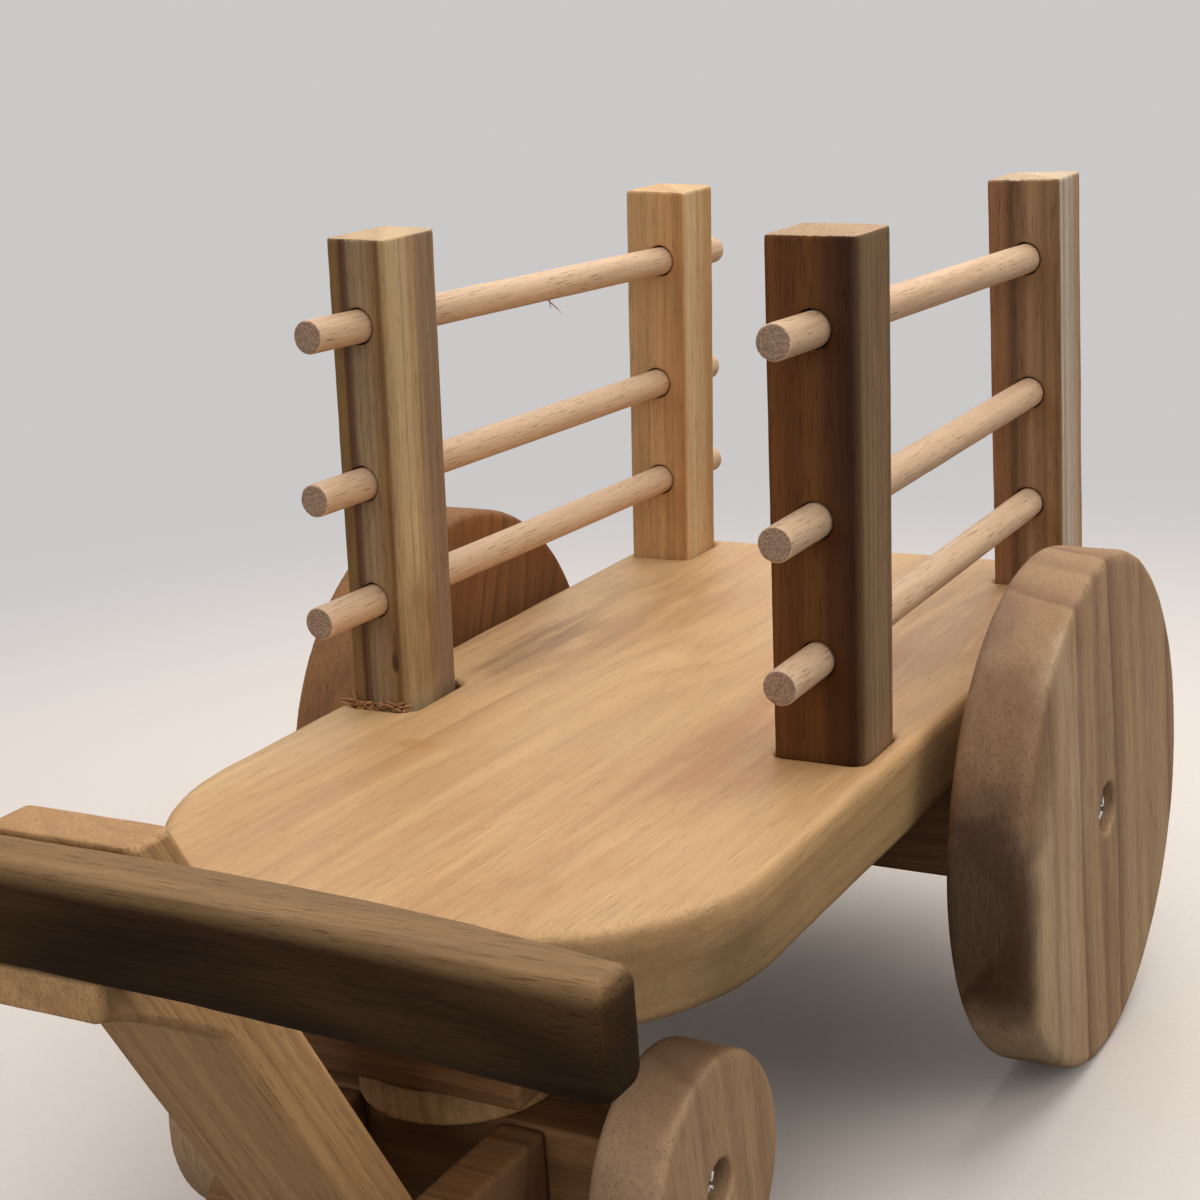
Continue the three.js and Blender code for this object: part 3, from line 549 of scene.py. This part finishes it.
def sawn_ends(node, axis=Z, tear=0.45):
    """Roughens the two sawn ends of a piece and tears small bites out of their edges."""
    low, high = (np.array(corner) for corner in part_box(node))

    def shape(points, normals):
        facing = np.abs(normals[:, axis])
        from_end = np.minimum(points[:, axis] - low[axis], high[axis] - points[:, axis])
        rim = np.exp(-from_end / SAW_REACH)
        bites = np.clip(field(points, SAW_BITES, 3.0) - 0.15, 0, None)
        ridges = field(points, SAW_RIDGES, 9.0)
        sideways = normals.copy()
        sideways[:, axis] = 0
        points = points - sideways * (rim * bites * tear * MM * (1 - facing))[:, None]
        sunk = (facing > 0.6) * (0.1 + 0.1 * ridges + 0.4 * bites) * MM
        points[:, axis] -= np.sign(normals[:, axis]) * sunk
        return points

    return shape


def rounded_wheel(node, sides):
    """Brings a many-sided wheel's rim back to a true circle, a little uneven like a sanded one."""
    low, high = (np.array(corner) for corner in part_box(node))
    centre = (low + high) / 2
    radius = (high[2] - low[2]) / 2
    step = 2 * math.pi / sides

    def shape(points, normals):
        y, z = points[:, 1] - centre[1], points[:, 2] - centre[2]
        distance = np.hypot(y, z)
        angle = np.arctan2(z, y)
        short = np.cos(step / 2) / np.cos(np.mod(angle, step) - step / 2)
        swell = np.where(distance > 0.8 * radius, 1 / short, 1.0)
        points[:, 1] = centre[1] + y * swell
        points[:, 2] = centre[2] + z * swell
        return points

    return shape


# The number of sides that the CAD gives each wheel's rim.
REAR_WHEEL_SIDES = 72
FRONT_WHEEL_SIDES = 48

for post in (f"post_{corner}" for corner in CORNERS):
    hand_worked(post, voxel=0.5, undulation=0.1, shape=sawn_ends(post))
hand_worked("deck", voxel=1.1, undulation=0.15)
for side in SIDES:
    rear, front = f"rear_wheel_{side}", f"front_wheel_{side}"
    hand_worked(rear, voxel=0.8, undulation=0.12, shape=rounded_wheel(rear, REAR_WHEEL_SIDES))
    hand_worked(front, voxel=0.7, undulation=0.1, shape=rounded_wheel(front, FRONT_WHEEL_SIDES))
    hand_worked(f"drawbar_cheek_{side}", voxel=0.6, undulation=0.08)
for beam in ("rear_axle_beam", "front_bolster", "steering_beam"):
    hand_worked(beam, voxel=0.7, undulation=0.1, shape=sawn_ends(beam, X, tear=0.3))
hand_worked("turntable_disc", voxel=0.6, undulation=0.05)
hand_worked("drawbar", voxel=0.8, undulation=0.12)
hand_worked("handle_bar", voxel=0.9, undulation=0.15)


def lathe(rings, sides, start, direction, loop=False):
    """A closed body turned about a line, from rings of (distance along, radius).

    Either may be one number, or one for each side. The ends are closed on the axis, or with loop
    the last ring joins the first, as in a washer.
    """
    along = Vector(direction).normalized()
    side_a = along.orthogonal().normalized()
    side_b = along.cross(side_a)
    angles = np.arange(sides) * 2 * math.pi / sides
    spokes = np.outer(np.cos(angles), side_a) + np.outer(np.sin(angles), side_b)
    points = []
    for distance, radius in rings:
        distance, radius = (np.broadcast_to(np.asarray(v, float), sides) for v in (distance, radius))
        points.extend(np.array(start) + np.outer(distance, along) + spokes * radius[:, None])
    faces = []
    count = len(rings)
    for row in range(count if loop else count - 1):
        here, there = row * sides, (row + 1) % count * sides
        for i in range(sides):
            after = (i + 1) % sides
            faces.append((here + i, here + after, there + after, there + i))
    if not loop:
        points.extend(np.array(start) + np.array(along) * float(np.mean(rings[end][0])) for end in (0, -1))
        first, last = len(points) - 2, (count - 1) * sides
        faces.extend((first, (i + 1) % sides, i) for i in range(sides))
        faces.extend((first + 1, last + i, last + (i + 1) % sides) for i in range(sides))
    mesh = bpy.data.meshes.new("turned")
    mesh.from_pydata([tuple(p) for p in points], [], faces)
    mesh.update()
    return mesh


def main_axis(node):
    """The two ends and the radius of a straight round CAD rod."""
    points = cad_points(node)
    middle = (points.min(0) + points.max(0)) / 2
    direction = np.linalg.svd(points - points.mean(0), full_matrices=False)[2][0]
    direction = direction * np.sign(direction[np.argmax(np.abs(direction))])
    along = (points - middle) @ direction
    end_band = 0.5 * MM
    start = points[along < along.min() + end_band].mean(0)
    end = points[along > along.max() - end_band].mean(0)
    radius = np.linalg.norm((points - middle) - np.outer(along, direction), axis=1).max()
    return Vector(start), Vector(end), radius


# A dowel lies a little inside its CAD rod, wavers, and has chipped, broken edges at its ends.
DOWEL_INSET = 0.04 * MM
DOWEL_WAVER = 0.05 * MM
DOWEL_SPACING = 1.6 * MM
DOWEL_CHIP = 0.5 * MM
DOWEL_EDGE = 0.35 * MM
DOWEL_END = (0.0, 0.12 * MM, 0.3 * MM, 0.5 * MM)


def dowel(node, seed, sides=48):
    """A planed beech dowel with sawn, slightly broken ends."""
    start, end, radius = main_axis(node)
    length = (end - start).length
    rng = random.Random(seed)
    between = length - 2 * DOWEL_END[-1]
    count = max(2, round(between / DOWEL_SPACING))
    stations = list(DOWEL_END)
    stations += [DOWEL_END[-1] + between * i / count for i in range(1, count)]
    stations += [length - from_end for from_end in reversed(DOWEL_END)]
    sunk = 0.08 * MM
    rings = [(sunk * rng.random(), radius * share) for share in (0.35, 0.7)]
    for at in stations:
        from_end = min(at, length - at)
        edge = DOWEL_EDGE * (1 - min(1, from_end / (0.45 * MM))) ** 2
        radii = []
        for i in range(sides):
            angle = 2 * math.pi * i / sides
            spot = Vector((math.cos(angle) * 1.1, math.sin(angle) * 1.1, at * 60 + seed * 7))
            nick = Vector((math.cos(angle) * 5, math.sin(angle) * 5, seed * 3 + 1))
            chip = max(0, noise.noise(nick)) * DOWEL_CHIP * math.exp(-from_end / DOWEL_EDGE)
            waver = DOWEL_WAVER * (noise.noise(spot) - 1)
            radii.append(radius - DOWEL_INSET + waver - edge - chip)
        rings.append((at, radii))
    rings += [(length - sunk * rng.random(), radius * share) for share in (0.7, 0.35)]
    return new_piece("wood." + node, lathe(rings, sides, start, end - start), node)


RAILS = [f"rail_{side}_{level}" for side in SIDES for level in ("top", "middle", "bottom")]
for index, rail in enumerate(RAILS):
    dowel(rail, seed=index + 1)
dowel("drawbar_pin", seed=11, sides=40)


# ---- Steel fasteners ------------------------------------------------------------------------


def box_axis(node, axis):
    """The two middles of a CAD box's ends along one axis."""
    low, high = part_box(node)
    middle = (low + high) / 2
    start, end = middle.copy(), middle.copy()
    start[axis], end[axis] = low[axis], high[axis]
    return start, end


def cross_recess(radius, angles, size, depth):
    """How deep a cross-shaped driver recess is at one radius, for each angle."""
    u, v = np.abs(radius * np.cos(angles)), np.abs(radius * np.sin(angles))
    arm = size * 0.17
    edge = 0.14 * MM
    arms = [
        np.clip((arm - a) / edge + 0.5, 0, 1) * np.clip((size - b) / edge + 0.5, 0, 1)
        for a, b in ((u, v), (v, u))
    ]
    return np.maximum(*arms) * depth * (1 - 0.5 * radius / size)


# THREAD_DEPTH and THREAD_ROOT are shares of the shank's radius.
SCREW_POINT = 2.4 * MM
THREAD_PITCH = 1.5 * MM
THREAD_STEP = 0.3 * MM
THREAD_DEPTH = 0.26
THREAD_ROOT = 0.9
HEAD_RINGS = 28


def thread_rings(end, shank, angles):
    """The rings of a screw's point and of the thread that winds up from it."""
    rings = [(0.0, 0.05 * shank), (SCREW_POINT / 2, shank * 0.55)]
    for i in range(int((end - SCREW_POINT) / THREAD_STEP)):
        at = SCREW_POINT + i * THREAD_STEP
        wave = np.abs(np.mod(at / THREAD_PITCH + angles / (2 * math.pi), 1) * 2 - 1)
        rings.append((at, shank * (1 - THREAD_DEPTH * wave)))
    rings.append((end, shank * THREAD_ROOT))
    return rings


def screw(node, axis, head_first, shank, head, head_depth, rounded, sides=64):
    """A screw with a cross recess in its head.

    A rounded head sits on a plain shoulder. One that isn't is flat and countersunk, straight on the
    thread. head_first means that the head is at the low end of the axis.
    """
    start, end = box_axis(node, axis)
    if head_first:
        start, end = end, start
    length = (end - start).length
    seat = length - head_depth
    angles = np.arange(sides) * 2 * math.pi / sides
    thread_end = seat - (0.35 * length if rounded else 2.5 * MM)
    rings = thread_rings(thread_end, shank, angles)
    if rounded:
        rings += [(thread_end + 0.4 * MM, shank), (seat, shank)]
        rings += [(seat, head - 0.2 * MM), (seat + 0.2 * MM, head), (seat + head_depth * 0.3, head)]
    else:
        rings += [(seat, shank * THREAD_ROOT)]
        rings += [(length - 0.4 * MM, head - 0.1 * MM), (length - 0.15 * MM, head)]
    for i in range(HEAD_RINGS):
        share = 1 - (i + 0.4) / (HEAD_RINGS + 0.2)
        if rounded:
            top = seat + head_depth * (0.3 + 0.7 * math.sqrt(max(0, 1 - share**2.4)))
        else:
            top = length - 2 * MM * max(0, share - 0.95)
        sunk = cross_recess(head * share, angles, head * 0.58, head_depth * 0.55)
        rings.append((top - sunk, head * share))
    return new_piece("steel." + node, lathe(rings, sides, start, end - start), node)


def washer(node, axis, sides=96):
    """A flat washer with softly rounded edges."""
    start, end = box_axis(node, axis)
    points = cad_points(node) - np.array(start)
    points[:, axis] = 0
    radii = np.linalg.norm(points, axis=1)
    inner, outer, thick = radii.min(), radii.max(), (end - start).length
    edge = 0.22 * thick
    rings = [
        (edge, inner), (0, inner + edge), (0, outer - edge), (edge, outer),
        (thick - edge, outer), (thick, outer - edge), (thick, inner + edge), (thick - edge, inner),
    ]
    return new_piece("steel." + node, lathe(rings, sides, start, end - start, loop=True), node)


WOOD_SCREW = {"shank": 2 * MM, "head": 4 * MM, "head_depth": 2.4 * MM, "rounded": False}
FRONT_SHOULDER = {"shank": 2.5 * MM, "head": 4.8 * MM, "head_depth": 3.2 * MM, "rounded": True}
REAR_SHOULDER = {"shank": 3 * MM, "head": 5.5 * MM, "head_depth": 3.6 * MM, "rounded": True}
LARGE_HEAD_SIDES = 96

# Wood screws go in from below, the turntable's from above, and the cheeks' from behind.
for corner in CORNERS:
    screw(f"post_screw_{corner}", Z, True, **WOOD_SCREW)
    screw(f"bolster_screw_{corner}", Z, True, **WOOD_SCREW)
for side in SIDES:
    screw(f"beam_screw_{side}", Z, True, **WOOD_SCREW)
    screw(f"handle_screw_{side}", Z, True, **WOOD_SCREW)
    screw(f"turntable_screw_{side}", Z, False, **WOOD_SCREW)
    screw(f"cheek_screw_{side}", Y, False, **WOOD_SCREW)
    to_left = side == "left"
    screw(f"rear_axle_screw_{side}", X, to_left, sides=LARGE_HEAD_SIDES, **REAR_SHOULDER)
    screw(f"front_axle_screw_{side}", X, to_left, sides=LARGE_HEAD_SIDES, **FRONT_SHOULDER)
    washer(f"rear_washer_{side}", X)
    washer(f"front_washer_{side}", X)
screw("king_screw", Z, True, sides=LARGE_HEAD_SIDES, **REAR_SHOULDER)
washer("turntable_washer", Z)


# ---- Torn fibres ----------------------------------------------------------------------------


def fibres(name, strands, material, body):
    """Thin torn strands of wood, each a curved, tapering sliver (root, direction, length, width, curl)."""
    points, faces = [], []
    stations, sides = 7, 4
    for root, direction, length, width, curl in strands:
        root, along = Vector(root), Vector(direction).normalized()
        across = along.orthogonal().normalized()
        bend = along.cross(across)
        base = len(points)
        for i in range(stations):
            t = i / (stations - 1)
            centre = root + along * length * t + bend * curl * length * t * t
            half = width / 2 * (0.35 + 0.65 * math.sin(math.pi * min(1, 0.25 + t * 0.8)))
            for k in range(sides):
                angle = 2 * math.pi * (k + 0.5) / sides
                offset = across * math.cos(angle) * half + bend * math.sin(angle) * half * 0.45
                points.append(tuple(centre + offset))
            if i:
                a, b = base + (i - 1) * sides, base + i * sides
                faces.extend((a + k, a + (k + 1) % sides, b + (k + 1) % sides, b + k) for k in range(sides))
        faces.append(tuple(base + k for k in reversed(range(sides))))
        faces.append(tuple(base + (stations - 1) * sides + k for k in range(sides)))
    mesh = bpy.data.meshes.new(name)
    mesh.from_pydata(points, [], faces)
    mesh.materials.append(material)
    mesh.polygons.foreach_set("use_smooth", [True] * len(mesh.polygons))
    mesh.update()
    piece = add_object(name, mesh)
    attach(piece, body)


FOOT_STRANDS = 90


def foot_fibres():
    """A ragged collar of torn fibres in the wide mortise round the front left post's foot."""
    rng = random.Random(5)
    low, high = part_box("post_front_left")
    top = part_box("deck")[1].z
    width = high.x - low.x - 5 * MM
    strands = []
    for _ in range(FOOT_STRANDS):
        share = rng.random() ** 1.2
        root = (low.x + share * width, low.y - rng.uniform(0.1, 1.1) * MM, top + rng.uniform(-1.4, 0.9) * MM)
        direction = (rng.uniform(-1, 1), rng.uniform(-0.25, 0.1), rng.uniform(-0.15, 0.3))
        length, breadth = rng.uniform(1.2, 3.4) * MM, rng.uniform(0.6, 1.7) * MM
        strands.append((root, direction, length, breadth, rng.uniform(-0.4, 0.4)))
    return strands


def rail_splinter():
    """A sliver that hangs from the underside of the left top rail."""
    start, end, radius = main_axis("rail_left_top")
    root = start.lerp(end, 0.52) - Vector((0, 0, radius * 0.97))
    return [
        (root, (0.25, 0.55, -0.45), 4.5 * MM, 0.5 * MM, 0.5),
        (root + Vector((0, 1.2 * MM, 0)), (0.1, -0.4, -0.8), 3.2 * MM, 0.4 * MM, -0.6),
    ]


TORN = wood("torn_fibre", (196, 142, 98), (142, 92, 58), ring=1.2, roughness=0.85, shine=0.1, wear_and_highlight=0)
fibres("fibres.post_foot", foot_fibres(), TORN, "chassis")
fibres("fibres.rail", rail_splinter(), MATERIALS["beech_dowel"], "chassis")


# ---- Floor, lights and camera ---------------------------------------------------------------


def seen_directly(tree):
    """1 for what the camera sees and 0 for the light that reaches the truck."""
    return tree.nodes.new("ShaderNodeLightPath").outputs["Is Camera Ray"]


BACKDROP = linear(203, 200, 200)
FLOOR_HALF = 30.0

# The distances from the truck's middle between which the floor fades into the backdrop.
FLOOR_FADE = (0.22, 0.7)

# The floor's colour for the light that it throws back at the truck.
FLOOR_AS_LIT = (0.16, 0.15, 0.14, 1)

# The dome's strength rises from low, level with the horizon, to high at and above a height (of 1).
DOME_COLOUR = (1, 0.97, 0.93, 1)
DOME_LOW, DOME_HIGH = 0.08, 0.85
DOME_HEIGHT = 0.8


def add_floor():
    """A pale floor that fades, away from the truck, into the even backdrop."""
    mesh = bpy.data.meshes.new("floor")
    corners = [(x * FLOOR_HALF, y * FLOOR_HALF, 0) for x, y in ((-1, -1), (1, -1), (1, 1), (-1, 1))]
    mesh.from_pydata(corners, [], [(0, 1, 2, 3)])
    floor = add_object("floor", mesh)
    s = Shading("floor_paper")
    weave = s.noise(s.object_point, (700, 700, 700), 2).outputs["Fac"]
    shown = s.mix(weave, linear(212, 205, 200), linear(220, 213, 208))
    eye = seen_directly(s.tree)
    s.feed(s.surface.inputs["Base Color"], s.mix(eye, FLOOR_AS_LIT, shown))
    s.surface.inputs["Roughness"].default_value = 0.9
    s.surface.inputs["Specular IOR Level"].default_value = 0.1
    s.bump(weave, 0.2 * MM, 0.5)
    away = s.vector("LENGTH", s.object_point)
    fade = s.maths("MULTIPLY", s.smooth(away, *FLOOR_FADE), eye)
    glow = s.add("ShaderNodeEmission", {"Color": BACKDROP}).outputs["Emission"]
    either = s.add("ShaderNodeMixShader", {0: fade, 1: s.surface.outputs["BSDF"], 2: glow})
    s.feed(s.tree.nodes["Material Output"].inputs["Surface"], either.outputs["Shader"])
    mesh.materials.append(s.material)


def add_light(name, place, target, size, power, colour):
    """A rectangular lamp at a place, turned to a target."""
    data = bpy.data.lights.new(name, "AREA")
    data.shape = "RECTANGLE"
    data.size, data.size_y = size
    data.energy = power
    data.color = colour
    lamp = add_object(name, data)
    lamp.location = place
    lamp.rotation_euler = (Vector(target) - Vector(place)).to_track_quat("-Z", "Y").to_euler()


def add_world():
    """A pale studio: an even backdrop to the eye, and a soft light that comes mostly from overhead."""
    world = bpy.data.worlds.new("studio")
    world.use_nodes = True
    tree = world.node_tree
    backdrop = tree.nodes["Background"]
    backdrop.inputs["Color"].default_value = BACKDROP
    dome = tree.nodes.new("ShaderNodeBackground")
    dome.inputs["Color"].default_value = DOME_COLOUR
    direction = tree.nodes.new("ShaderNodeSeparateXYZ")
    tree.links.new(tree.nodes.new("ShaderNodeTexCoord").outputs["Generated"], direction.inputs["Vector"])
    height = tree.nodes.new("ShaderNodeMapRange")
    height.interpolation_type = "SMOOTHSTEP"
    levels = {"From Min": 0.0, "From Max": DOME_HEIGHT, "To Min": DOME_LOW, "To Max": DOME_HIGH}
    for name, value in levels.items():
        height.inputs[name].default_value = value
    tree.links.new(direction.outputs["Z"], height.inputs["Value"])
    tree.links.new(height.outputs["Result"], dome.inputs["Strength"])
    either = tree.nodes.new("ShaderNodeMixShader")
    tree.links.new(seen_directly(tree), either.inputs["Fac"])
    tree.links.new(dome.outputs["Background"], either.inputs[1])
    tree.links.new(backdrop.outputs["Background"], either.inputs[2])
    tree.links.new(either.outputs["Shader"], tree.nodes["World Output"].inputs["Surface"])
    bpy.context.scene.world = world


# Where the photo was taken from, how it was turned, and its lens on a 36 mm wide sensor.
CAMERA_PLACE = Vector((0.2421, -0.40795, 0.2593))
CAMERA_TURN = {"yaw": 29.96, "pitch": 15.44, "roll": -3.93}
CAMERA_LENS = 65.9


def add_camera():
    """The camera that was fitted to the photo."""
    yaw, pitch, roll = (math.radians(CAMERA_TURN[name]) for name in ("yaw", "pitch", "roll"))
    forward = Vector((-math.sin(yaw) * math.cos(pitch), math.cos(yaw) * math.cos(pitch), -math.sin(pitch)))
    right = Vector((math.cos(yaw), math.sin(yaw), 0))
    up = right.cross(forward)
    right, up = (
        right * math.cos(roll) + up * math.sin(roll),
        up * math.cos(roll) - right * math.sin(roll),
    )
    data = bpy.data.cameras.new("camera")
    data.lens = CAMERA_LENS
    data.sensor_width = 36
    data.clip_start = 0.01
    camera = add_object("camera", data)
    turn = Matrix((right, up, -forward)).transposed().to_4x4()
    camera.matrix_world = Matrix.Translation(CAMERA_PLACE) @ turn
    bpy.context.scene.camera = camera


add_floor()
add_light("key", (0.15, 0.6, 1.2), (0, 0.05, 0.05), (1.1, 1.1), 9.8, (1, 0.97, 0.92))
add_light("fill", (0.1, -1.5, 0.4), (0, 0.1, 0.14), (0.9, 0.5), 6, (0.94, 0.97, 1))
add_light("back", (-0.5, 1.4, 0.7), (0, 0.05, 0.1), (1.4, 0.9), 4, (1, 0.97, 0.92))
add_light("side", (1.3, 0.1, 0.75), (0.05, 0.05, 0.08), (0.9, 0.9), 5, (1, 0.96, 0.9))
add_world()
add_camera()
bpy.context.scene.view_settings.view_transform = "Standard"
